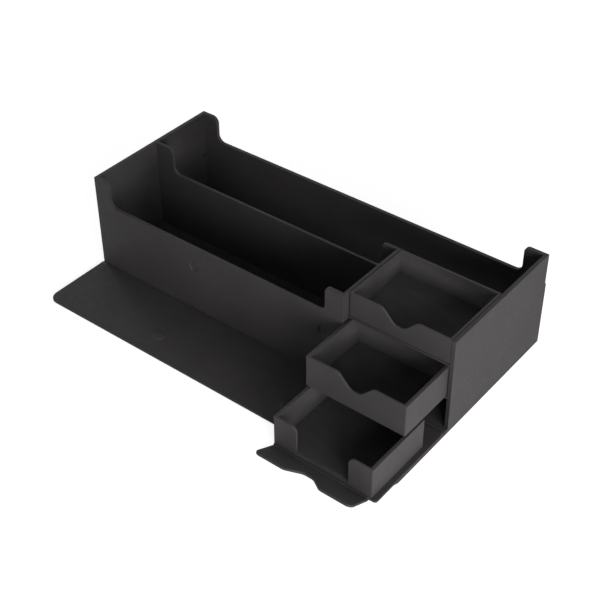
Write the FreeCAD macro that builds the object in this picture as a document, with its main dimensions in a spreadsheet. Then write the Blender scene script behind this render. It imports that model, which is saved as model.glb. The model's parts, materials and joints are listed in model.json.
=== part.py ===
import FreeCAD, Part
import math
import os
import Sketcher

# Card storage box: an open tray with two card drawers under a dice tray at its right end,
# a full-width front flap and a drawer cover folded down in front of it.
# Drawing frame: X to the right from the box's left face, Y back from its front face, Z up from
# the surface it stands on. Every body is then moved so that the origin is the middle of the
# box's underside.

SIZES = [
    # Outer size of the box
    ("length", 416.0),
    ("depth", 162.6),
    ("height", 104.4),
    # Board thicknesses
    ("wrap_board", 2.4),
    ("floor_board", 2.6),
    ("wall_board", 4.0),
    ("inner_board", 3.2),
    ("tray_board", 2.4),
    ("lining", 0.8),
    # Clearances
    ("fold_gap", 0.3),
    ("slide_gap", 0.4),
    ("drawer_side_gap", 1.1),
    ("tray_side_gap", 0.6),
    ("lining_gap", 0.3),
    # Cut-outs in the front, rear and inner walls
    ("cutout_height", 76.0),
    ("front_column", 18.8),
    ("post_width", 20.6),
    ("rear_column_left", 21.4),
    ("rear_column_right", 19.4),
    ("divider_column_left", 22.4),
    ("divider_column_right", 16.0),
    ("cutout_round", 8.0),
    ("column_round_left", 7.5),
    ("column_round_right", 4.5),
    ("back_cover_height", 70.0),
    # Inner layout
    ("row_depth", 80.8),
    ("front_recess", 7.3),
    ("drawer_bay_width", 106.2),
    # Drawers
    ("lower_drawer_height", 32.2),
    ("upper_drawer_height", 33.4),
    ("drawer_depth", 75.6),
    ("drawer_side_board", 3.6),
    ("lower_drawer_margin", 1.2),
    ("upper_drawer_out", 54.9),
    ("lower_front_opening", 54.4),
    ("lower_front_round", 7.0),
    ("bay_headroom", 0.8),
    # Dice tray
    ("dice_tray_depth", 79.8),
    ("dice_tray_setback", 0.5),
    # Finger notches
    ("notch_depth", 13.8),
    ("tab_notch_depth", 11.5),
    ("notch_mouth", 37.0),
    ("notch_bottom", 10.0),
    ("notch_round", 7.0),
    # Folding parts
    ("flap_length", 78.2),
    ("flap_round", 11.0),
    ("cover_length", 101.0),
    ("cover_side_gap", 0.4),
    ("cover_round", 3.0),
    ("tab_length", 27.6),
    ("tab_width", 102.0),
    ("tab_inset", 0.8),
    ("tab_round", 6.0),
    ("tab_angle", 27.0),
    # Magnets
    ("magnet_radius", 6.0),
    ("magnet_height", 2.0),
    ("magnet_proud", 0.3),
    ("magnet_gap", 0.05),
    ("magnet_inset_left", 128.0),
    ("magnet_inset_right", 22.1),
    ("magnet_level", 53.6),
    # Softened edges
    ("edge_round", 1.0),
]

# Places worked out from the sizes above, as text for the expressions
BOX_FLOOR = "(Sizes.wrap_board + Sizes.floor_board)"
INNER_LEFT = "Sizes.wall_board"
INNER_RIGHT = "(Sizes.length - Sizes.wall_board)"
INNER_BACK = "(Sizes.depth - Sizes.wall_board)"
BAY_LEFT = "(Sizes.length - Sizes.wall_board - Sizes.drawer_bay_width)"
PARTITION_LEFT = f"({BAY_LEFT} - Sizes.inner_board)"
DIVIDER_FRONT = "(Sizes.wall_board + Sizes.row_depth)"
DIVIDER_BACK = f"({DIVIDER_FRONT} + Sizes.inner_board)"
DRAWER_LEFT = f"({BAY_LEFT} + Sizes.drawer_side_gap)"
DRAWER_RIGHT = f"({INNER_RIGHT} - Sizes.drawer_side_gap)"
LOWER_DRAWER_Z = f"({BOX_FLOOR} + Sizes.slide_gap)"
DRAWER_SHELF_Z = f"({LOWER_DRAWER_Z} + Sizes.lower_drawer_height + Sizes.bay_headroom)"
UPPER_DRAWER_Z = f"({DRAWER_SHELF_Z} + Sizes.tray_board + Sizes.slide_gap)"
TRAY_SHELF_Z = f"({UPPER_DRAWER_Z} + Sizes.upper_drawer_height + Sizes.bay_headroom)"
DICE_TRAY_Z = f"({TRAY_SHELF_Z} + Sizes.tray_board + Sizes.fold_gap)"
DICE_TRAY_LEFT = f"({BAY_LEFT} + Sizes.tray_side_gap)"
DICE_TRAY_RIGHT = f"({INNER_RIGHT} - Sizes.tray_side_gap)"

# Hinge lines: the flap folds just in front of the box. The drawer cover folds inside the recess that
# the front wall leaves in front of the drawers, so that it closes flush with the wall
COVER_FOLD_Y = "(Sizes.wrap_board / 2)"
COVER_FOLD_Z = "(Sizes.wrap_board * 1.5 + Sizes.fold_gap)"
FLAP_FOLD_Y = "(0 - Sizes.fold_gap - Sizes.wrap_board / 2)"
FLAP_FOLD_Z = "(Sizes.wrap_board / 2)"
BAY_SILL = "(Sizes.wrap_board + Sizes.fold_gap)"
TAB_FOLD_Y = "(0 - Sizes.cover_length - Sizes.fold_gap - Sizes.wrap_board / 2)"
COVER_LEFT = f"({BAY_LEFT} + Sizes.cover_side_gap)"
COVER_WIDTH = f"(Sizes.length - {COVER_LEFT})"
TAB_LEFT = f"({COVER_LEFT} + Sizes.tab_inset)"

document = FreeCAD.newDocument("card_storage_box")
sheet = document.addObject("Spreadsheet::Sheet", "Sizes")
for row, (alias, value) in enumerate(SIZES, start=1):
    cell = f"B{row}"
    sheet.set(f"A{row}", alias)
    sheet.set(cell, str(value))
    sheet.setAlias(cell, alias)
document.recompute()

parts = []


def size(alias):
    """The value of a named size."""
    return float(sheet.get(alias))


def place(item, x="0", y="0", z="0"):
    """Put an item at a place of the drawing frame, seen from the origin under the box's middle."""
    item.setExpression("Placement.Base.x", f"{x} - Sizes.length / 2")
    item.setExpression("Placement.Base.y", f"{y} - Sizes.depth / 2")
    item.setExpression("Placement.Base.z", z)


def new_body(name, x="0", y="0", z="0"):
    """A body for one physical piece."""
    body = document.addObject("PartDesign::Body", name)
    body.Label = name
    place(body, x, y, z)
    parts.append(body)
    return body


def new_sketch(body, name, plane, level="0"):
    """A sketch on one of the body's own origin planes, moved off it by a level."""
    sketch = body.newObject("Sketcher::SketchObject", name)
    for feature in body.Origin.OriginFeatures:
        if feature.Role == plane:
            sketch.AttachmentSupport = [(feature, "")]
    sketch.MapMode = "FlatFace"
    sketch.setExpression("AttachmentOffset.Base.z", level)
    return sketch


def outline(body, name, plane, corners, level="0"):
    """A closed outline through corners given as expressions of the sheet."""
    sketch = new_sketch(body, name, plane, level)
    count = len(corners)
    start = []
    for index in range(count):
        turn = 2 * math.pi * index / count
        start.append(FreeCAD.Vector(100 * math.cos(turn), 100 * math.sin(turn), 0))
    for index in range(count):
        sketch.addGeometry(Part.LineSegment(start[index], start[(index + 1) % count]), False)
    for index in range(count):
        sketch.addConstraint(Sketcher.Constraint("Coincident", index, 2, (index + 1) % count, 1))
    for index, (across, up) in enumerate(corners):
        for kind, letter, value, text in (("DistanceX", "x", start[index].x, across),
                                          ("DistanceY", "y", start[index].y, up)):
            number = sketch.addConstraint(Sketcher.Constraint(kind, -1, 1, index, 1, value))
            sketch.renameConstraint(number, f"corner{index}{letter}")
            sketch.setExpression(f"Constraints.corner{index}{letter}", text)
    return sketch


def rectangle(body, name, plane, left, right, low, high, level="0"):
    """A rectangular outline."""
    corners = [(left, low), (right, low), (right, high), (left, high)]
    return outline(body, name, plane, corners, level)


def circle(body, name, plane, across, up, radius, level="0"):
    """A round outline."""
    sketch = new_sketch(body, name, plane, level)
    sketch.addGeometry(Part.Circle(FreeCAD.Vector(1, 1, 0), FreeCAD.Vector(0, 0, 1), 5), False)
    for kind, key, value, text in (("DistanceX", "across", 1, across), ("DistanceY", "up", 1, up)):
        number = sketch.addConstraint(Sketcher.Constraint(kind, -1, 1, 0, 3, value))
        sketch.renameConstraint(number, key)
        sketch.setExpression(f"Constraints.{key}", text)
    number = sketch.addConstraint(Sketcher.Constraint("Radius", 0, 5))
    sketch.renameConstraint(number, "radius")
    sketch.setExpression("Constraints.radius", radius)
    return sketch


def pad(body, sketch, length, backwards=False):
    """Material from a sketch."""
    feature = body.newObject("PartDesign::Pad", sketch.Name + "_pad")
    feature.Profile = sketch
    feature.Reversed = backwards
    feature.setExpression("Length", length)
    sketch.Visibility = False
    document.recompute()
    return feature


def pocket(body, sketch, depth, backwards=False):
    """A cut from a sketch, which has to take material away."""
    before = body.Shape.Volume
    feature = body.newObject("PartDesign::Pocket", sketch.Name + "_pocket")
    feature.Profile = sketch
    feature.Reversed = backwards
    feature.setExpression("Length", depth)
    sketch.Visibility = False
    document.recompute()
    if body.Shape.Volume > before - 0.01:
        raise RuntimeError(f"{sketch.Name} cuts nothing")
    return feature


def round_edges(body, radius, chosen):
    """A fillet on the edges of the body's last feature that the test picks."""
    base = body.Tip
    names = []
    for number, edge in enumerate(base.Shape.Edges, start=1):
        if chosen(edge):
            names.append(f"Edge{number}")
    if not names:
        raise RuntimeError(f"{body.Label}: no edge to round")
    feature = body.newObject("PartDesign::Fillet", base.Name + "_round")
    feature.Base = (base, names)
    feature.setExpression("Radius", radius)
    document.recompute()
    return feature


def straight_along(edge, axis):
    """Whether an edge is a straight line along the axis numbered 0, 1 or 2."""
    ends = [vertex.Point for vertex in edge.Vertexes]
    if len(ends) != 2 or not isinstance(edge.Curve, Part.Line):
        return False
    span = ends[1] - ends[0]
    return abs(abs(span[axis]) - span.Length) < 1e-6


def edges_at(axis, places, tolerance=0.05):
    """A test for straight edges along an axis through given places in the other two directions."""
    others = [index for index in (0, 1, 2) if index != axis]

    def chosen(edge):
        if not straight_along(edge, axis):
            return False
        middle = edge.CenterOfMass
        for first, second in places:
            near = abs(middle[others[0]] - first) < tolerance
            if near and abs(middle[others[1]] - second) < tolerance:
                return True
        return False

    return chosen


def plain_panel(name, x, width, y, depth, z, height):
    """A flat rectangular board."""
    body = new_body(name, x, y, z)
    sketch = rectangle(body, name + "_outline", "XY_Plane", "0", width, "0", depth)
    pad(body, sketch, height)
    return body


def wall_with_cutout(name, right, left_column, right_column, front, thickness, bottom, top, left="0"):
    """A wall along X whose middle is lower than the columns at its two ends."""
    body = new_body(name)
    inner_left = f"({left} + {left_column})"
    inner_right = f"({right} - {right_column})"
    corners = [
        (left, bottom), (right, bottom), (right, top), (inner_right, top),
        (inner_right, "Sizes.cutout_height"), (inner_left, "Sizes.cutout_height"),
        (inner_left, top), (left, top),
    ]
    sketch = outline(body, name + "_outline", "XZ_Plane", corners, f"0 - {front}")
    pad(body, sketch, thickness, True)
    return body


def cutout_edges(body, level, start=0.0, end=1.0):
    """A test for the short edges across the wall at one level, between two shares of its length."""
    box = body.Shape.BoundBox
    shift = size("length") / 2
    low = box.XMin + shift + box.XLength * start + 1
    high = box.XMin + shift + box.XLength * end - 1

    def chosen(edge):
        if not straight_along(edge, 1):
            return False
        middle = edge.CenterOfMass
        return abs(middle.z - level) < 0.05 and low < middle.x < high

    return chosen


def shape_wall(body):
    """Round the cut-out's lower corners and the tops of its columns."""
    round_edges(body, "Sizes.cutout_round", cutout_edges(body, size("cutout_height")))
    round_edges(body, "Sizes.column_round_left", cutout_edges(body, size("height"), 0.0, 0.5))
    round_edges(body, "Sizes.column_round_right", cutout_edges(body, size("height"), 0.5, 1.0))


def open_tray(name, left, right, front, depth, bottom, height, side="Sizes.tray_board"):
    """A tray of boards: a block hollowed from above."""
    body = new_body(name)
    outer = rectangle(body, name + "_outline", "XY_Plane", left, right, front, f"{front} + {depth}", bottom)
    pad(body, outer, height)
    inner = rectangle(body, name + "_hollow", "XY_Plane",
                      f"{left} + {side}", f"{right} - {side}",
                      f"{front} + Sizes.tray_board", f"{front} + {depth} - Sizes.tray_board",
                      f"{bottom} + {height}")
    pocket(body, inner, f"{height} - Sizes.tray_board")
    return body


def soften_corners(body):
    """Round the tray's four upright outer corners."""
    box = body.Tip.Shape.BoundBox
    corners = [(x, y) for x in (box.XMin, box.XMax) for y in (box.YMin, box.YMax)]
    round_edges(body, "Sizes.edge_round", edges_at(2, corners))


def notch_corners(centre, edge, depth, outward):
    """Corners of a notch that narrows from its mouth in an edge to its bottom."""
    mouth = "Sizes.notch_mouth / 2"
    bottom = "Sizes.notch_bottom / 2"
    return [
        (f"{centre} - {mouth}", f"{edge} + {outward}"), (f"{centre} - {mouth}", edge),
        (f"{centre} - {bottom}", f"{edge} - {depth}"), (f"{centre} + {bottom}", f"{edge} - {depth}"),
        (f"{centre} + {mouth}", edge), (f"{centre} + {mouth}", f"{edge} + {outward}"),
    ]


def finger_notch(body, name, centre, front, top):
    """A bell-shaped finger notch in the top edge of a tray's front board."""
    corners = notch_corners(centre, top, "Sizes.notch_depth", "1")
    notch = outline(body, name, "XZ_Plane", corners, f"0 - {front} + 1")
    pocket(body, notch, "Sizes.tray_board + 2")
    box = body.Tip.Shape.BoundBox
    middle = (box.XMin + box.XMax) / 2
    levels = (box.ZMax, box.ZMax - size("notch_depth"))

    def chosen(edge):
        spot = edge.CenterOfMass
        at_front = spot.y < box.YMin + size("tray_board")
        at_level = min(abs(spot.z - level) for level in levels) < 0.05
        at_middle = abs(spot.x - middle) < size("notch_mouth") / 2 + 1
        return straight_along(edge, 1) and at_front and at_level and at_middle

    round_edges(body, "Sizes.notch_round", chosen)


# Outer wrap: the sheet under the box and the one glued up its back

plain_panel("bottom_cover", "0", "Sizes.length", "0", "Sizes.depth", "0", "Sizes.wrap_board")

back_cover = new_body("back_cover", "0", "Sizes.depth", "0")
back_outline = rectangle(back_cover, "back_cover_outline", "XZ_Plane", "0", "Sizes.length",
                         "0", "Sizes.back_cover_height")
pad(back_cover, back_outline, "Sizes.wrap_board", True)

# Box: floor and four walls

# In the drawer bay, where no front wall stands, the floor reaches forward to the cover's fold and
# ends in a sill that runs across in front of the right end wall
base_board = new_body("base_board")
base_corners = [
    (INNER_LEFT, "Sizes.wall_board"), (BAY_LEFT, "Sizes.wall_board"), (BAY_LEFT, BAY_SILL),
    ("Sizes.length", BAY_SILL), ("Sizes.length", "Sizes.front_recess"),
    (INNER_RIGHT, "Sizes.front_recess"), (INNER_RIGHT, INNER_BACK), (INNER_LEFT, INNER_BACK),
]
base_outline = outline(base_board, "base_board_outline", "XY_Plane", base_corners, "Sizes.wrap_board")
pad(base_board, base_outline, "Sizes.floor_board")

front_wall = wall_with_cutout("front_wall", BAY_LEFT, "Sizes.front_column", "Sizes.post_width", "0",
                              "Sizes.wall_board", "Sizes.wrap_board", "Sizes.height")
shape_wall(front_wall)

back_wall = wall_with_cutout("back_wall", INNER_RIGHT, "Sizes.rear_column_left",
                             "Sizes.rear_column_right", INNER_BACK, "Sizes.wall_board",
                             "Sizes.wrap_board", "Sizes.height")
shape_wall(back_wall)

plain_panel("left_end_wall", "0", "Sizes.wall_board", "Sizes.wall_board",
            f"{INNER_BACK} - Sizes.wall_board", "Sizes.wrap_board", "Sizes.height - Sizes.wrap_board")
plain_panel("right_end_wall", INNER_RIGHT, "Sizes.wall_board", "Sizes.front_recess",
            "Sizes.depth - Sizes.front_recess", "Sizes.wrap_board", "Sizes.height - Sizes.wrap_board")

# Inner walls: the divider behind the card row, and the drawer module with its shelves

divider_wall = wall_with_cutout("divider_wall", PARTITION_LEFT, "Sizes.divider_column_left",
                                "Sizes.divider_column_right", DIVIDER_FRONT, "Sizes.inner_board",
                                BOX_FLOOR, "Sizes.height", INNER_LEFT)
shape_wall(divider_wall)

plain_panel("module_partition", PARTITION_LEFT, "Sizes.inner_board", "Sizes.wall_board",
            f"{DIVIDER_BACK} - Sizes.wall_board", BOX_FLOOR, f"Sizes.height - {BOX_FLOOR}")
plain_panel("module_back", BAY_LEFT, "Sizes.drawer_bay_width", DIVIDER_FRONT, "Sizes.inner_board",
            BOX_FLOOR, f"{TRAY_SHELF_Z} - {BOX_FLOOR}")
plain_panel("drawer_shelf", BAY_LEFT, "Sizes.drawer_bay_width", "Sizes.front_recess",
            f"{DIVIDER_FRONT} - Sizes.front_recess", DRAWER_SHELF_Z, "Sizes.tray_board")
plain_panel("tray_shelf", BAY_LEFT, "Sizes.drawer_bay_width", "Sizes.front_recess",
            f"{DIVIDER_BACK} - Sizes.front_recess", TRAY_SHELF_Z, "Sizes.tray_board")

# Linings on the floors

plain_panel("row_floor_lining", INNER_LEFT, f"{PARTITION_LEFT} - {INNER_LEFT}", "Sizes.wall_board",
            "Sizes.row_depth", BOX_FLOOR, "Sizes.lining")
plain_panel("rear_floor_lining", INNER_LEFT, f"{INNER_RIGHT} - {INNER_LEFT}", DIVIDER_BACK,
            f"{INNER_BACK} - {DIVIDER_BACK}", BOX_FLOOR, "Sizes.lining")

# Drawers, each a tray of boards with a lining on its floor

DRAWER_MIDDLE = f"(({DRAWER_LEFT} + {DRAWER_RIGHT}) / 2)"


def drawer_lining(name, left, right, front, depth, bottom, side="Sizes.tray_board"):
    """The lining that lies on a tray's floor, clear of its walls."""
    return plain_panel(name, f"{left} + {side} + Sizes.lining_gap",
                       f"{right} - {left} - 2 * ({side} + Sizes.lining_gap)",
                       f"{front} + Sizes.tray_board + Sizes.lining_gap",
                       f"{depth} - 2 * (Sizes.tray_board + Sizes.lining_gap)",
                       f"{bottom} + Sizes.tray_board", "Sizes.lining")


# The lower drawer stands pulled out on the folded-down cover, just behind the cover's front edge
LOWER_FRONT = "(Sizes.lower_drawer_margin - Sizes.cover_length)"
lower_drawer = open_tray("lower_drawer", DRAWER_LEFT, DRAWER_RIGHT, LOWER_FRONT, "Sizes.drawer_depth",
                         LOWER_DRAWER_Z, "Sizes.lower_drawer_height", "Sizes.drawer_side_board")
soften_corners(lower_drawer)
front_opening = rectangle(lower_drawer, "lower_front_opening", "XZ_Plane",
                          f"{DRAWER_MIDDLE} - Sizes.lower_front_opening / 2",
                          f"{DRAWER_MIDDLE} + Sizes.lower_front_opening / 2",
                          f"{LOWER_DRAWER_Z} + Sizes.tray_board",
                          f"{LOWER_DRAWER_Z} + Sizes.lower_drawer_height + 1",
                          f"0 - {LOWER_FRONT} + 1")
pocket(lower_drawer, front_opening, "Sizes.tray_board + 2")


def return_tops(edge):
    """The front returns' inner top corners."""
    box = lower_drawer.Tip.Shape.BoundBox
    spot = edge.CenterOfMass
    at_front = spot.y < box.YMin + size("tray_board")
    at_top = abs(spot.z - box.ZMax) < 0.05
    at_middle = abs(spot.x - (box.XMin + box.XMax) / 2) < size("lower_front_opening") / 2 + 1
    return straight_along(edge, 1) and at_front and at_top and at_middle


round_edges(lower_drawer, "Sizes.lower_front_round", return_tops)
drawer_lining("lower_drawer_lining", DRAWER_LEFT, DRAWER_RIGHT, LOWER_FRONT, "Sizes.drawer_depth",
              LOWER_DRAWER_Z, "Sizes.drawer_side_board")

UPPER_FRONT = "(0 - Sizes.upper_drawer_out)"
upper_drawer = open_tray("upper_drawer", DRAWER_LEFT, DRAWER_RIGHT, UPPER_FRONT, "Sizes.drawer_depth",
                         UPPER_DRAWER_Z, "Sizes.upper_drawer_height", "Sizes.drawer_side_board")
soften_corners(upper_drawer)
finger_notch(upper_drawer, "upper_drawer_notch", DRAWER_MIDDLE, UPPER_FRONT,
             f"{UPPER_DRAWER_Z} + Sizes.upper_drawer_height")
drawer_lining("upper_drawer_lining", DRAWER_LEFT, DRAWER_RIGHT, UPPER_FRONT, "Sizes.drawer_depth",
              UPPER_DRAWER_Z, "Sizes.drawer_side_board")

# Dice tray on the top shelf, flush with the rim

DICE_TRAY_FRONT = "(Sizes.front_recess + Sizes.dice_tray_setback)"
dice_tray = open_tray("dice_tray", DICE_TRAY_LEFT, DICE_TRAY_RIGHT, DICE_TRAY_FRONT,
                      "Sizes.dice_tray_depth", DICE_TRAY_Z, f"(Sizes.height - {DICE_TRAY_Z})")
soften_corners(dice_tray)
finger_notch(dice_tray, "dice_tray_notch", f"(({DICE_TRAY_LEFT} + {DICE_TRAY_RIGHT}) / 2)",
             DICE_TRAY_FRONT, "Sizes.height")
drawer_lining("dice_tray_lining", DICE_TRAY_LEFT, DICE_TRAY_RIGHT, DICE_TRAY_FRONT,
              "Sizes.dice_tray_depth", DICE_TRAY_Z)

# Folding parts. Each board starts on its fold line, and a half-round strip of the skin closes its edge


def folding_board(name, left, width, fold_y, fold_z, length, corner):
    """A board from its fold line towards the front, with rounded front corners."""
    body = new_body(name, left, fold_y, fold_z)
    sketch = rectangle(body, name + "_outline", "XY_Plane", "0", width, f"0 - {length}", "0",
                       "0 - Sizes.wrap_board / 2")
    pad(body, sketch, "Sizes.wrap_board")
    box = body.Tip.Shape.BoundBox
    round_edges(body, corner, edges_at(2, [(box.XMin, box.YMin), (box.XMax, box.YMin)]))
    return body


def fold_strip(name, left, width, fold_y, fold_z):
    """The half-round strip of skin behind a fold line."""
    body = new_body(name, left, fold_y, fold_z)
    sketch = new_sketch(body, name + "_section", "YZ_Plane")
    centre = FreeCAD.Vector(0, 0, 0)
    half = Part.ArcOfCircle(Part.Circle(centre, FreeCAD.Vector(0, 0, 1), 1), -math.pi / 2, math.pi / 2)
    sketch.addGeometry(half, False)
    sketch.addGeometry(Part.LineSegment(FreeCAD.Vector(0, 1, 0), FreeCAD.Vector(0, -1, 0)), False)
    sketch.addConstraint(Sketcher.Constraint("Coincident", 0, 3, -1, 1))
    sketch.addConstraint(Sketcher.Constraint("PointOnObject", 0, 1, -2))
    sketch.addConstraint(Sketcher.Constraint("PointOnObject", 0, 2, -2))
    sketch.addConstraint(Sketcher.Constraint("Coincident", 0, 2, 1, 1))
    sketch.addConstraint(Sketcher.Constraint("Coincident", 1, 2, 0, 1))
    number = sketch.addConstraint(Sketcher.Constraint("Radius", 0, 1))
    sketch.renameConstraint(number, "radius")
    sketch.setExpression("Constraints.radius", "Sizes.wrap_board / 2")
    pad(body, sketch, width)
    return body


front_flap = folding_board("front_flap", "0", "Sizes.length", FLAP_FOLD_Y, FLAP_FOLD_Z,
                           f"(Sizes.flap_length + {FLAP_FOLD_Y})", "Sizes.flap_round")
fold_strip("flap_fold_strip", "0", "Sizes.length", FLAP_FOLD_Y, FLAP_FOLD_Z)

drawer_cover = folding_board("drawer_cover", COVER_LEFT, COVER_WIDTH, COVER_FOLD_Y, COVER_FOLD_Z,
                             f"(Sizes.cover_length + {COVER_FOLD_Y})", "Sizes.cover_round")
fold_strip("cover_fold_strip", COVER_LEFT, COVER_WIDTH, COVER_FOLD_Y, COVER_FOLD_Z)

tuck_tab = folding_board("tuck_tab", TAB_LEFT, "Sizes.tab_width", TAB_FOLD_Y, COVER_FOLD_Z,
                         "Sizes.tab_length", "Sizes.tab_round")
tab_notch = outline(tuck_tab, "tuck_tab_notch", "XY_Plane",
                    notch_corners("Sizes.tab_width / 2", "(0 - Sizes.tab_length)",
                                  "(0 - Sizes.tab_notch_depth)", "(0 - 1)"), "Sizes.wrap_board")
pocket(tuck_tab, tab_notch, "Sizes.wrap_board * 2")


def tab_notch_edges(edge):
    """The upright edges at the mouth and the bottom of the tab's notch."""
    spot = edge.CenterOfMass
    at_mouth = abs(spot.y + size("tab_length")) < 0.05
    at_bottom = abs(spot.y + size("tab_length") - size("tab_notch_depth")) < 0.05
    at_middle = abs(spot.x - size("tab_width") / 2) < size("notch_mouth") / 2 + 1
    return straight_along(edge, 2) and (at_mouth or at_bottom) and at_middle


round_edges(tuck_tab, "Sizes.notch_round", tab_notch_edges)
tab_fold_strip = fold_strip("tab_fold_strip", TAB_LEFT, "Sizes.tab_width", TAB_FOLD_Y, COVER_FOLD_Z)

# The tab stands up a little from its fold
for raised in (tuck_tab, tab_fold_strip):
    raised.Placement.Rotation = FreeCAD.Rotation(FreeCAD.Vector(-1, 0, 0), size("tab_angle"))
    raised.setExpression("Placement.Rotation.Angle", "Sizes.tab_angle * 1 deg")

# Magnets: pairs of discs that meet when the flap is closed against the front wall

MAGNET_PLACES = {
    "left": "Sizes.magnet_inset_left",
    "right": f"({BAY_LEFT} - Sizes.magnet_inset_right)",
}
for side, across in MAGNET_PLACES.items():
    # In the front wall, from its front face
    hole = circle(front_wall, f"wall_magnet_hole_{side}", "XZ_Plane", across, "Sizes.magnet_level",
                  "Sizes.magnet_radius + Sizes.magnet_gap", "1")
    pocket(front_wall, hole, "Sizes.magnet_height - Sizes.magnet_proud + 1")
    disc = new_body(f"wall_magnet_{side}")
    disc_outline = circle(disc, f"wall_magnet_outline_{side}", "XZ_Plane", across,
                          "Sizes.magnet_level", "Sizes.magnet_radius", "Sizes.magnet_proud")
    pad(disc, disc_outline, "Sizes.magnet_height", True)
    # In the flap, from its upper face, as far from the fold as the wall's magnet is above it
    reach = f"(0 - (Sizes.magnet_level - {FLAP_FOLD_Z}))"
    hole = circle(front_flap, f"flap_magnet_hole_{side}", "XY_Plane", across, reach,
                  "Sizes.magnet_radius + Sizes.magnet_gap", "Sizes.wrap_board / 2 + 1")
    pocket(front_flap, hole, "Sizes.magnet_height - Sizes.magnet_proud + 1")
    disc = new_body(f"flap_magnet_{side}", "0", FLAP_FOLD_Y, FLAP_FOLD_Z)
    disc_outline = circle(disc, f"flap_magnet_outline_{side}", "XY_Plane", across, reach,
                          "Sizes.magnet_radius", "Sizes.wrap_board / 2 + Sizes.magnet_proud")
    pad(disc, disc_outline, "Sizes.magnet_height", True)

document.recompute()

for item in document.Objects:
    bad = {"Invalid", "Error"} & set(item.State)
    if bad:
        raise RuntimeError(f"{item.Label} is {bad}")
for item in parts:
    if item.Shape.isNull() or not item.Shape.isValid():
        raise RuntimeError(f"{item.Label} has no valid shape")

os.makedirs("parts", exist_ok=True)
for item in parts:
    item.Shape.exportStep(f"parts/{item.Label}.step")
    box = item.Shape.BoundBox
    print(f"{item.Label:22s} x {box.XMin:8.2f} {box.XMax:8.2f}  y {box.YMin:8.2f} {box.YMax:8.2f}"
          f"  z {box.ZMin:7.2f} {box.ZMax:7.2f}  solids {len(item.Shape.Solids)}"
          f"  volume {item.Shape.Volume:10.1f}")
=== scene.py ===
import bmesh
import bpy
import json
import math
from mathutils import Matrix, Vector


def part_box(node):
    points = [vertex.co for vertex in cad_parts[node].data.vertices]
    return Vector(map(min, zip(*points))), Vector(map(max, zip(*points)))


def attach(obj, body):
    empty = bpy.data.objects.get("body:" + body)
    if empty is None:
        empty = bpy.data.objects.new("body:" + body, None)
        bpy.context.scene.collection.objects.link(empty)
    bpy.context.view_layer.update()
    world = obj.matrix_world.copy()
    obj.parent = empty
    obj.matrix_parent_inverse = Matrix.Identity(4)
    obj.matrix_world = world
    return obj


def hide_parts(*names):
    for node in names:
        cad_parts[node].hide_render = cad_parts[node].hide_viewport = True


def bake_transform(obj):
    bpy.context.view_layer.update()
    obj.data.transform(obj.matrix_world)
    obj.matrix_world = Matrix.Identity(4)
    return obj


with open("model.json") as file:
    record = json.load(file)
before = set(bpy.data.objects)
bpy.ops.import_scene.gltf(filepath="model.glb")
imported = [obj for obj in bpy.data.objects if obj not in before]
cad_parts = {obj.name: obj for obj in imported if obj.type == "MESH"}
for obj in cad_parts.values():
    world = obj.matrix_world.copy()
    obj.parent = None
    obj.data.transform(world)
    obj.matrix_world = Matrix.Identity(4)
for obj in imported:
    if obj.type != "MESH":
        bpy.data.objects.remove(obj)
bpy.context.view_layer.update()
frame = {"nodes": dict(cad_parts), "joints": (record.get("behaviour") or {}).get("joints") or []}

MM = 0.001

# Camera: where the photograph was taken from, in the model's frame
CAMERA_AT = Vector((596.5, -774.3, 784.1)) * MM
CAMERA_AIM = Vector((-2.2, -23.5, 20.0)) * MM
CAMERA_ROLL = math.radians(-0.40)
CAMERA_LENS = 76.8

# How bright the floor shows beyond its lit colour, and how much the world lights the model
FLOOR_GLOW = 0.83
WORLD_LIGHT = 0.08

# Soft edges of the wrapped boards
WALL_EDGE = 0.7 * MM
INNER_EDGE = 0.5 * MM
TRAY_EDGE = 0.5 * MM
COVER_EDGE = 0.7 * MM
LINING_EDGE = 0.3 * MM
EDGE_STEPS = 3

# Skin over the folds
SKIN = 0.45 * MM
FOLD_INSET = 0.3 * MM
TAB_FOLD_INSET = 0.4 * MM
TAB_ANGLE = math.radians(27.0)

# Magnets' marks in the skin. Each profile goes out from the magnet's middle, as distance and height
# in millimetres: on the flap a low round swelling, on the wall a shallow dish with a raised lip
FLAP_MARK = [(0.0, 1.5), (2.6, 1.49), (3.9, 1.42), (4.6, 1.22), (5.1, 0.92), (5.6, 0.54), (6.0, 0.24),
             (6.5, 0.07), (7.1, 0.05), (7.8, 0.06), (8.5, 0.04), (9.3, -0.05)]
WALL_MARK = [(0.0, -1.0), (3.0, -1.06), (3.9, -1.3), (4.4, -1.45), (4.8, -1.35), (5.3, -0.85),
             (5.8, -0.3), (6.15, 0.06), (6.6, 0.2), (7.1, 0.15), (7.7, 0.05), (8.4, -0.05)]
# Height of each mark's flat back, hidden inside the board, in millimetres
FLAP_MARK_BACK = -0.8
WALL_MARK_BACK = -1.6
MARK_CORNERS = 72
PUCKER_FROM = 7

# Plugs that fill the magnets' holes; the wall's are sunk to leave room for the dish
PLUG_RADIUS = 6.4 * MM
PLUG_CORNERS = 48
WALL_PLUG_SINK = 1.7 * MM
WALL_PLUG_DEPTH = 1.3 * MM
FLAP_PLUG_DEPTH = 2.0 * MM

# Outer edges that turn more than SHARP are rounded, and faces that turn less than FLAT are one face
SHARP = math.radians(30)
FLAT = math.radians(0.6)


# Materials

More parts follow.
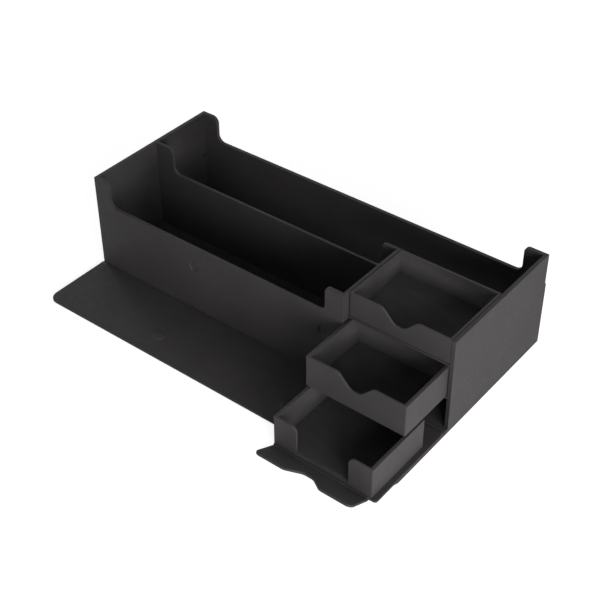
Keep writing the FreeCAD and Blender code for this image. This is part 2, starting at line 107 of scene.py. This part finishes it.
class Nodes:
    """A short way to write a node tree."""

    def __init__(self, name):
        self.material = bpy.data.materials.new(name)
        self.material.use_nodes = True
        self.tree = self.material.node_tree
        self.shader = self.tree.nodes["Principled BSDF"]
        self.place = self.add("ShaderNodeTexCoord").outputs["Object"]

    def add(self, kind, **values):
        node = self.tree.nodes.new(kind)
        for key, value in values.items():
            setattr(node, key, value)
        return node

    def join(self, source, target):
        self.tree.links.new(source, target)

    def noise(self, scale, detail=3.0, rough=0.55, stretch=None):
        """Noise over the object, in cycles for each metre."""
        node = self.add("ShaderNodeTexNoise")
        node.inputs["Scale"].default_value = scale
        node.inputs["Detail"].default_value = detail
        node.inputs["Roughness"].default_value = rough
        place = self.place
        if stretch:
            mapping = self.add("ShaderNodeMapping")
            mapping.inputs["Scale"].default_value = stretch
            self.join(self.place, mapping.inputs["Vector"])
            place = mapping.outputs["Vector"]
        self.join(place, node.inputs["Vector"])
        return node.outputs["Fac"]

    def cells(self, scale):
        """Rounded pebbles over the object, in cycles for each metre."""
        node = self.add("ShaderNodeTexVoronoi", feature="SMOOTH_F1")
        node.inputs["Scale"].default_value = scale
        self.join(self.place, node.inputs["Vector"])
        return node.outputs["Distance"]

    def spread(self, value, low, high, start=0.0, end=1.0):
        """A value carried from one range to another."""
        node = self.add("ShaderNodeMapRange")
        node.inputs["From Min"].default_value = low
        node.inputs["From Max"].default_value = high
        node.inputs["To Min"].default_value = start
        node.inputs["To Max"].default_value = end
        self.join(value, node.inputs["Value"])
        return node.outputs["Result"]

    def maths(self, operation, first, second):
        node = self.add("ShaderNodeMath", operation=operation)
        for index, value in enumerate((first, second)):
            if isinstance(value, (int, float)):
                node.inputs[index].default_value = value
            else:
                self.join(value, node.inputs[index])
        return node.outputs["Value"]

    def mix(self, factor, first, second):
        """A colour between two colours."""
        node = self.add("ShaderNodeMix", data_type="RGBA")
        for socket, value in ((node.inputs["Factor"], factor), (node.inputs["A"], first),
                              (node.inputs["B"], second)):
            if isinstance(value, (int, float)):
                socket.default_value = value
            elif isinstance(value, tuple):
                socket.default_value = (*value, 1.0)
            else:
                self.join(value, socket)
        return node.outputs["Result"]

    def bump(self, height, distance, strength=1.0, below=None):
        node = self.add("ShaderNodeBump")
        node.inputs["Distance"].default_value = distance
        node.inputs["Strength"].default_value = strength
        self.join(height, node.inputs["Height"])
        if below:
            self.join(below, node.inputs["Normal"])
        return node.outputs["Normal"]


def leatherette(name, dark, pale, rubbed_lit_edge_colour, rough=(0.6, 0.74), grain=1.0):
    """Matte grained skin: fine pebbles, slow colour changes, and paler edges that are partly rubbed wear
    and partly a painted highlight.
    """
    n = Nodes(name)
    clouds = n.noise(22.0, 3.0, 0.6)
    mottle = n.noise(240.0, 4.0, 0.6)
    tone = n.mix(n.spread(clouds, 0.3, 0.7), dark, pale)
    tone = n.mix(n.spread(mottle, 0.35, 0.75, 0.0, 0.45), tone, pale)
    # Paler colour on the rounded edges: rubbed wear together with a painted highlight where the edges
    # catch light
    edge_rub_and_highlight = n.add("ShaderNodeAttribute", attribute_name="edge_rub_and_highlight").outputs["Fac"]
    patches = n.spread(n.noise(70.0, 4.0, 0.65), 0.36, 0.66, 0.25, 1.0)
    tone = n.mix(n.maths("MULTIPLY", edge_rub_and_highlight, patches), tone, rubbed_lit_edge_colour)
    n.join(tone, n.shader.inputs["Base Color"])
    n.join(n.spread(mottle, 0.3, 0.7, rough[0], rough[1]), n.shader.inputs["Roughness"])
    pebbles = n.spread(n.cells(1150.0), 0.0, 0.7)
    creases = n.noise(2600.0, 2.0, 0.5)
    low = n.bump(n.noise(34.0, 2.0, 0.5), 0.7 * MM, 0.5)
    mid = n.bump(pebbles, 0.055 * MM * grain, 0.8, low)
    fine = n.bump(creases, 0.03 * MM * grain, 0.5, mid)
    n.join(fine, n.shader.inputs["Normal"])
    n.shader.inputs["Specular IOR Level"].default_value = 0.22
    n.shader.inputs["Sheen Weight"].default_value = 0.04
    n.shader.inputs["Sheen Roughness"].default_value = 0.5
    return n.material


def microfibre(name, dark, pale):
    """Short-napped lining: brushed patches and loose fibres."""
    n = Nodes(name)
    nap = n.noise(38.0, 4.0, 0.6, (1.0, 2.2, 1.0))
    fibres = n.noise(1900.0, 3.0, 0.7, (1.0, 0.35, 1.0))
    tone = n.mix(n.spread(nap, 0.35, 0.68), dark, pale)
    tone = n.mix(n.spread(fibres, 0.4, 0.75, 0.0, 0.5), tone, pale)
    n.join(tone, n.shader.inputs["Base Color"])
    n.join(n.spread(fibres, 0.3, 0.7, 0.86, 0.97), n.shader.inputs["Roughness"])
    n.join(n.bump(fibres, 0.16 * MM, 0.9, n.bump(nap, 0.5 * MM, 0.4)), n.shader.inputs["Normal"])
    n.shader.inputs["Specular IOR Level"].default_value = 0.2
    n.shader.inputs["Sheen Weight"].default_value = 0.45
    n.shader.inputs["Sheen Roughness"].default_value = 0.4
    return n.material


# The three colours are the dark patches, the pale patches and the edges, which are paler for rubbed wear
# and for a painted highlight
outer_skin = leatherette("outer_skin", (0.0375, 0.0340, 0.0350), (0.0480, 0.0440, 0.0450),
                         (0.0500, 0.0460, 0.0465))
inner_skin = leatherette("inner_skin", (0.0345, 0.0320, 0.0328), (0.0440, 0.0410, 0.0420),
                         (0.0460, 0.0425, 0.0430))
tray_skin = leatherette("tray_skin", (0.0430, 0.0395, 0.0405), (0.0535, 0.0495, 0.0505),
                        (0.0550, 0.0510, 0.0515))
fold_skin = leatherette("fold_skin", (0.0335, 0.0305, 0.0315), (0.0440, 0.0400, 0.0410),
                        (0.0470, 0.0430, 0.0440), rough=(0.56, 0.7), grain=1.3)
lining_cloth = microfibre("lining_cloth", (0.020, 0.019, 0.020), (0.034, 0.033, 0.034))


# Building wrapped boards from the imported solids

def mesh_of(nodes):
    """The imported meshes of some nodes, each welded, as one bmesh per node."""
    found = []
    for name in nodes:
        work = bmesh.new()
        work.from_mesh(frame["nodes"][name].data)
        bmesh.ops.remove_doubles(work, verts=work.verts, dist=1e-6)
        found.append(work)
    return found


def new_object(name, work, material):
    mesh = bpy.data.meshes.new(name)
    work.to_mesh(mesh)
    work.free()
    item = bpy.data.objects.new(name, mesh)
    bpy.context.scene.collection.objects.link(item)
    mesh.materials.clear()
    mesh.materials.append(material)
    return item


def settle(item):
    """Apply the item's modifiers."""
    graph = bpy.context.evaluated_depsgraph_get()
    mesh = bpy.data.meshes.new_from_object(item.evaluated_get(graph), depsgraph=graph)
    old = item.data
    item.modifiers.clear()
    item.data = mesh
    bpy.data.meshes.remove(old)


def joined(name, works, material):
    """One solid from several that touch."""
    first = new_object(name, works[0], material)
    for other in works[1:]:
        tool = new_object(name + "_tool", other, material)
        union = first.modifiers.new("union", "BOOLEAN")
        union.operation = "UNION"
        union.solver = "EXACT"
        union.object = tool
        settle(first)
        bpy.data.objects.remove(tool)
    return first


def soften(item, radius):
    """Round the outer edges, and mark the rounded faces for the paler edge colour of rubbed wear and
    painted highlight.
    """
    work = bmesh.new()
    work.from_mesh(item.data)
    bmesh.ops.remove_doubles(work, verts=work.verts, dist=2e-6)
    bmesh.ops.dissolve_limit(work, angle_limit=FLAT, verts=work.verts, edges=work.edges)
    edges = []
    for edge in work.edges:
        if len(edge.link_faces) == 2 and edge.is_convex and edge.calc_face_angle() > SHARP:
            edges.append(edge)
    # The rounded faces get the paler edge colour, which paints a highlight as well as wear
    edge_rub_and_highlight = work.loops.layers.float_color.new("edge_rub_and_highlight")
    made = bmesh.ops.bevel(work, geom=edges, offset=radius, offset_type="OFFSET", segments=EDGE_STEPS,
                           profile=0.5, affect="EDGES", clamp_overlap=True, harden_normals=False)
    rounded = set(made["faces"])
    for face in work.faces:
        face.smooth = True
        value = 1.0 if face in rounded else 0.0
        for corner in face.loops:
            corner[edge_rub_and_highlight] = (value, value, value, 1.0)
    work.to_mesh(item.data)
    work.free()
    weigh = item.modifiers.new("weigh", "WEIGHTED_NORMAL")
    weigh.weight = 60
    settle(item)


def board(name, nodes, body, material, radius, extra=()):
    """A wrapped board, or several that one skin covers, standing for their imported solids."""
    item = joined(name, mesh_of(nodes) + list(extra), material)
    soften(item, radius)
    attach(item, body)
    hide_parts(*nodes)
    return item


def plug(centre, axis, radius, depth):
    """A short cylinder that fills a magnet's hole, with its outer face at the centre."""
    work = bmesh.new()
    bmesh.ops.create_cone(work, cap_ends=True, segments=PLUG_CORNERS, radius1=radius, radius2=radius,
                          depth=depth)
    turn = Vector((0, 0, 1)).rotation_difference(axis).to_matrix().to_4x4()
    move = Matrix.Translation(centre - axis * depth / 2)
    bmesh.ops.transform(work, matrix=move @ turn, verts=work.verts)
    return work


def middle_of(node):
    low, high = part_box(node)
    return (Vector(low) + Vector(high)) / 2


wall_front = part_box("front_wall")[0][1]
flap_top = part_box("front_flap")[1][2]
FRONT = Vector((0, -1, 0))
UP = Vector((0, 0, 1))

wall_marks = []
flap_marks = []
for side in ("left", "right"):
    spot = middle_of("wall_magnet_" + side)
    wall_marks.append(Vector((spot.x, wall_front, spot.z)))
    spot = middle_of("flap_magnet_" + side)
    flap_marks.append(Vector((spot.x, spot.y, flap_top)))

wall_plugs = [plug(spot - FRONT * WALL_PLUG_SINK, FRONT, PLUG_RADIUS, WALL_PLUG_DEPTH)
              for spot in wall_marks]
flap_plugs = [plug(spot, UP, PLUG_RADIUS, FLAP_PLUG_DEPTH) for spot in flap_marks]

board("cover_wrap", ["bottom_cover", "back_cover"], "box", outer_skin, COVER_EDGE)
board("box_shell", ["base_board", "front_wall", "back_wall", "left_end_wall", "right_end_wall"],
      "box", outer_skin, WALL_EDGE, wall_plugs)

for name, node in (("divider_skin", "divider_wall"), ("partition_skin", "module_partition"),
                   ("module_back_skin", "module_back"), ("drawer_shelf_skin", "drawer_shelf"),
                   ("tray_shelf_skin", "tray_shelf")):
    board(name, [node], "box", inner_skin, INNER_EDGE)

for node in ("upper_drawer", "lower_drawer", "dice_tray"):
    board(node + "_skin", [node], node, tray_skin, TRAY_EDGE)

board("flap_board", ["front_flap"], "front_flap", outer_skin, COVER_EDGE, flap_plugs)
board("cover_board", ["drawer_cover"], "drawer_cover", outer_skin, COVER_EDGE)
board("tab_board", ["tuck_tab"], "tuck_tab", outer_skin, COVER_EDGE)

for node, body in (("row_floor_lining", "box"), ("rear_floor_lining", "box"),
                   ("upper_drawer_lining", "upper_drawer"), ("lower_drawer_lining", "lower_drawer"),
                   ("dice_tray_lining", "dice_tray")):
    board(node + "_cloth", [node], body, lining_cloth, LINING_EDGE)


# Magnets: the marks they leave in the skin

def magnet_mark(node, profile, back, centre, axis, body):
    """A closed piece of skin over one magnet, with a flat back inside the board."""
    work = bmesh.new()
    rings = []
    top = work.verts.new((0, 0, profile[0][1] * MM))
    for reach, height in profile[1:] + [(profile[-1][0], back)]:
        ring = []
        for step in range(MARK_CORNERS):
            turn = 2 * math.pi * step / MARK_CORNERS
            pucker = 0.016 * math.sin(7 * turn) + 0.012 * math.sin(11 * turn + 1.3)
            outward = reach * MM * (1 + (pucker if reach > PUCKER_FROM else 0))
            ring.append(work.verts.new((outward * math.cos(turn), outward * math.sin(turn), height * MM)))
        rings.append(ring)
    for step in range(MARK_CORNERS):
        work.faces.new((top, rings[0][step], rings[0][(step + 1) % MARK_CORNERS]))
    for inner, outer in zip(rings, rings[1:]):
        for step in range(MARK_CORNERS):
            after = (step + 1) % MARK_CORNERS
            work.faces.new((inner[step], outer[step], outer[after], inner[after]))
    for face in work.faces:
        face.smooth = True
    work.faces.new(rings[-1][::-1])
    turn = UP.rotation_difference(axis).to_matrix().to_4x4()
    bmesh.ops.transform(work, matrix=Matrix.Translation(centre) @ turn, verts=work.verts)
    item = new_object(node + "_mark", work, outer_skin)
    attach(item, body)
    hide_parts(node)


for side, on_wall, on_flap in zip(("left", "right"), wall_marks, flap_marks):
    magnet_mark(f"wall_magnet_{side}", WALL_MARK, WALL_MARK_BACK, on_wall, FRONT, "box")
    magnet_mark(f"flap_magnet_{side}", FLAP_MARK, FLAP_MARK_BACK, on_flap, UP, "front_flap")


# Folds: a skin that runs from board to board on both faces, with a groove where no board backs it

def smooth_line(points, steps=6):
    """A rounded line through points, by averaging neighbours of a finer line."""
    fine = []
    for first, second in zip(points, points[1:]):
        for step in range(steps):
            share = step / steps
            fine.append([a + (b - a) * share for a, b in zip(first, second)])
    fine.append(list(points[-1]))
    for _ in range(6):
        eased = [fine[0]]
        for before, here, after in zip(fine, fine[1:], fine[2:]):
            eased.append([(a + 2 * b + c) / 4 for a, b, c in zip(before, here, after)])
        eased.append(fine[-1])
        fine = eased
    return fine


def skin_strip(work, left, right, line, inward, across=48):
    """A strip of skin along X whose section follows a line of (y, z) points in millimetres."""
    section = smooth_line(line)
    count = len(section)
    rows = []
    for index, (y, z) in enumerate(section):
        # The skin thins out to nothing at its two ends, where it joins the boards' own skin
        edge = min(index, count - 1 - index) / 4.0
        thick = SKIN * min(1.0, 0.15 + edge)
        before = section[max(index - 1, 0)]
        after = section[min(index + 1, count - 1)]
        along = Vector((0, after[0] - before[0], after[1] - before[1])).normalized()
        normal = Vector((0, -along.z, along.y)) * inward
        outer = Vector((0, y, z)) * MM
        rows.append((outer, outer + normal * thick))
    grid = []
    for step in range(across + 1):
        x = left + (right - left) * step / across
        grid.append([[work.verts.new((x, point.y, point.z)) for point in row] for row in rows])
    for here, after in zip(grid, grid[1:]):
        for index in range(count - 1):
            for layer in (0, 1):
                work.faces.new((here[index][layer], after[index][layer],
                                after[index + 1][layer], here[index + 1][layer]))
        for index in (0, count - 1):
            work.faces.new((here[index][0], after[index][0], after[index][1], here[index][1]))
    for side in (grid[0], grid[-1]):
        for index in range(count - 1):
            work.faces.new((side[index][0], side[index][1], side[index + 1][1], side[index + 1][0]))


hinges = {}
for joint in frame["joints"]:
    if joint["type"] == "hinge":
        hinges[joint["name"]] = Vector(joint["pos_m"])


def beside(hinge, points):
    """Points given in millimetres in front of (-) or behind (+) a hinge line and above it."""
    return [(hinge.y / MM + y, hinge.z / MM + z) for y, z in points]


def tab_points(hinge, points):
    """Points given in millimetres out along the raised tab and up from its middle plane."""
    found = []
    for out, up in points:
        y = hinge.y / MM - out * math.cos(TAB_ANGLE) + up * math.sin(TAB_ANGLE)
        z = hinge.z / MM + out * math.sin(TAB_ANGLE) + up * math.cos(TAB_ANGLE)
        found.append((y, z))
    return found


def fold(name, inset, top_line, under_line, node):
    """A fold's two skins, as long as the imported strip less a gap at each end."""
    low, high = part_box(node)
    left = low[0] + inset
    right = high[0] - inset
    work = bmesh.new()
    skin_strip(work, left, right, top_line, 1)
    skin_strip(work, left, right, under_line, -1)
    bmesh.ops.recalc_face_normals(work, faces=work.faces)
    for face in work.faces:
        face.smooth = True
    item = new_object(name, work, fold_skin)
    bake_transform(item)
    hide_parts(node)


hinge = hinges["front_flap_hinge"]
fold("flap_fold", FOLD_INSET,
     beside(hinge, [(1.46, 3.4), (1.45, 1.7), (1.35, 0.9), (0.9, 0.55), (0.35, 0.85), (-0.5, 1.2),
                    (-1.6, 1.26), (-4.4, 1.16)]),
     beside(hinge, [(2.6, -1.17), (1.4, -1.17), (0.75, -0.75), (0.0, -1.17), (-4.2, -1.17)]),
     "flap_fold_strip")

hinge = hinges["drawer_cover_hinge"]
low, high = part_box("cover_fold_strip")
hinge = Vector((hinge.x, low[1], (low[2] + high[2]) / 2))
fold("cover_fold", FOLD_INSET,
     beside(hinge, [(4.3, 1.05), (2.4, 1.16), (1.5, 0.95), (0.9, 0.75), (0.2, 0.98), (-0.9, 1.27),
                    (-4.9, 1.16)]),
     beside(hinge, [(1.1, -0.9), (0.6, -1.1), (-0.4, -1.18), (-3.9, -1.18)]),
     "cover_fold_strip")

hinge = hinges["tuck_tab_hinge"]
fold("tab_fold", TAB_FOLD_INSET,
     beside(hinge, [(5.1, 1.16), (2.3, 1.26), (1.3, 1.05)])
     + tab_points(hinge, [(-0.3, 0.95), (1.2, 1.25), (4.2, 1.17)]),
     beside(hinge, [(5.1, -1.2), (1.9, -1.23), (0.6, -1.2)])
     + tab_points(hinge, [(0.6, -1.2), (4.2, -1.2)]),
     "tab_fold_strip")


# Studio: pale floor, camera and soft lamps

def pale_floor():
    work = bmesh.new()
    bmesh.ops.create_grid(work, x_segments=1, y_segments=1, size=4.0)
    n = Nodes("pale_floor")
    paper = n.noise(9.0, 3.0, 0.5)
    n.join(n.mix(n.spread(paper, 0.3, 0.7), (0.80, 0.80, 0.80), (0.82, 0.82, 0.82)),
           n.shader.inputs["Base Color"])
    n.shader.inputs["Roughness"].default_value = 0.9
    n.shader.inputs["Specular IOR Level"].default_value = 0.1
    glow = n.add("ShaderNodeEmission")
    seen = n.add("ShaderNodeLightPath")
    reach = n.maths("MAXIMUM", seen.outputs["Is Camera Ray"], seen.outputs["Is Glossy Ray"])
    n.join(n.maths("MULTIPLY", reach, FLOOR_GLOW), glow.inputs["Strength"])
    both = n.add("ShaderNodeAddShader")
    n.join(n.shader.outputs["BSDF"], both.inputs[0])
    n.join(glow.outputs["Emission"], both.inputs[1])
    n.join(both.outputs["Shader"], n.tree.nodes["Material Output"].inputs["Surface"])
    floor = new_object("floor", work, n.material)
    floor.location.z = -0.2 * MM


def softbox(name, azimuth, elevation, distance, width, height, power, aim=(0, 0, 0.05)):
    """A rectangular lamp that looks at the model from a direction, azimuth 0 being the front."""
    turn = math.radians(azimuth)
    rise = math.radians(elevation)
    towards = Vector((math.sin(turn) * math.cos(rise), -math.cos(turn) * math.cos(rise), math.sin(rise)))
    lamp = bpy.data.lights.new(name, "AREA")
    lamp.shape = "RECTANGLE"
    lamp.size = width
    lamp.size_y = height
    lamp.energy = power
    item = bpy.data.objects.new(name, lamp)
    item.location = Vector(aim) + towards * distance
    item.rotation_euler = towards.to_track_quat("Z", "Y").to_euler()
    bpy.context.scene.collection.objects.link(item)


def studio_world():
    world = bpy.data.worlds.new("studio")
    world.use_nodes = True
    tree = world.node_tree
    back = tree.nodes["Background"]
    back.inputs["Color"].default_value = (1, 1, 1, 1)
    seen = tree.nodes.new("ShaderNodeLightPath")
    reach = tree.nodes.new("ShaderNodeMath")
    reach.operation = "MAXIMUM"
    tree.links.new(seen.outputs["Is Camera Ray"], reach.inputs[0])
    tree.links.new(seen.outputs["Is Glossy Ray"], reach.inputs[1])
    strength = tree.nodes.new("ShaderNodeMapRange")
    strength.inputs["To Min"].default_value = WORLD_LIGHT
    strength.inputs["To Max"].default_value = 1.0
    tree.links.new(reach.outputs["Value"], strength.inputs["Value"])
    tree.links.new(strength.outputs["Result"], back.inputs["Strength"])
    bpy.context.scene.world = world


pale_floor()
studio_world()
softbox("right_softbox", 62, 14, 0.9, 0.6, 0.5, 7.3, (0.15, -0.12, 0.04))
softbox("front_softbox", 42, 14, 1.2, 0.6, 0.5, 2.8, (0.1, -0.1, 0.04))
softbox("left_softbox", -108, 17, 1.7, 0.32, 0.32, 2.8)
softbox("back_softbox", 180, 55, 1.7, 0.9, 0.9, 2.2)

camera = bpy.data.cameras.new("camera")
camera.lens = CAMERA_LENS
camera.sensor_width = 36
camera.sensor_fit = "AUTO"
camera.clip_start = 0.05
view = bpy.data.objects.new("camera", camera)
view.location = CAMERA_AT
look = (CAMERA_AT - CAMERA_AIM).to_track_quat("Z", "Y").to_matrix()
view.rotation_euler = (look @ Matrix.Rotation(CAMERA_ROLL, 3, "Z")).to_euler()
bpy.context.scene.collection.objects.link(view)
bpy.context.scene.camera = view

bpy.context.scene.view_settings.view_transform = "Standard"
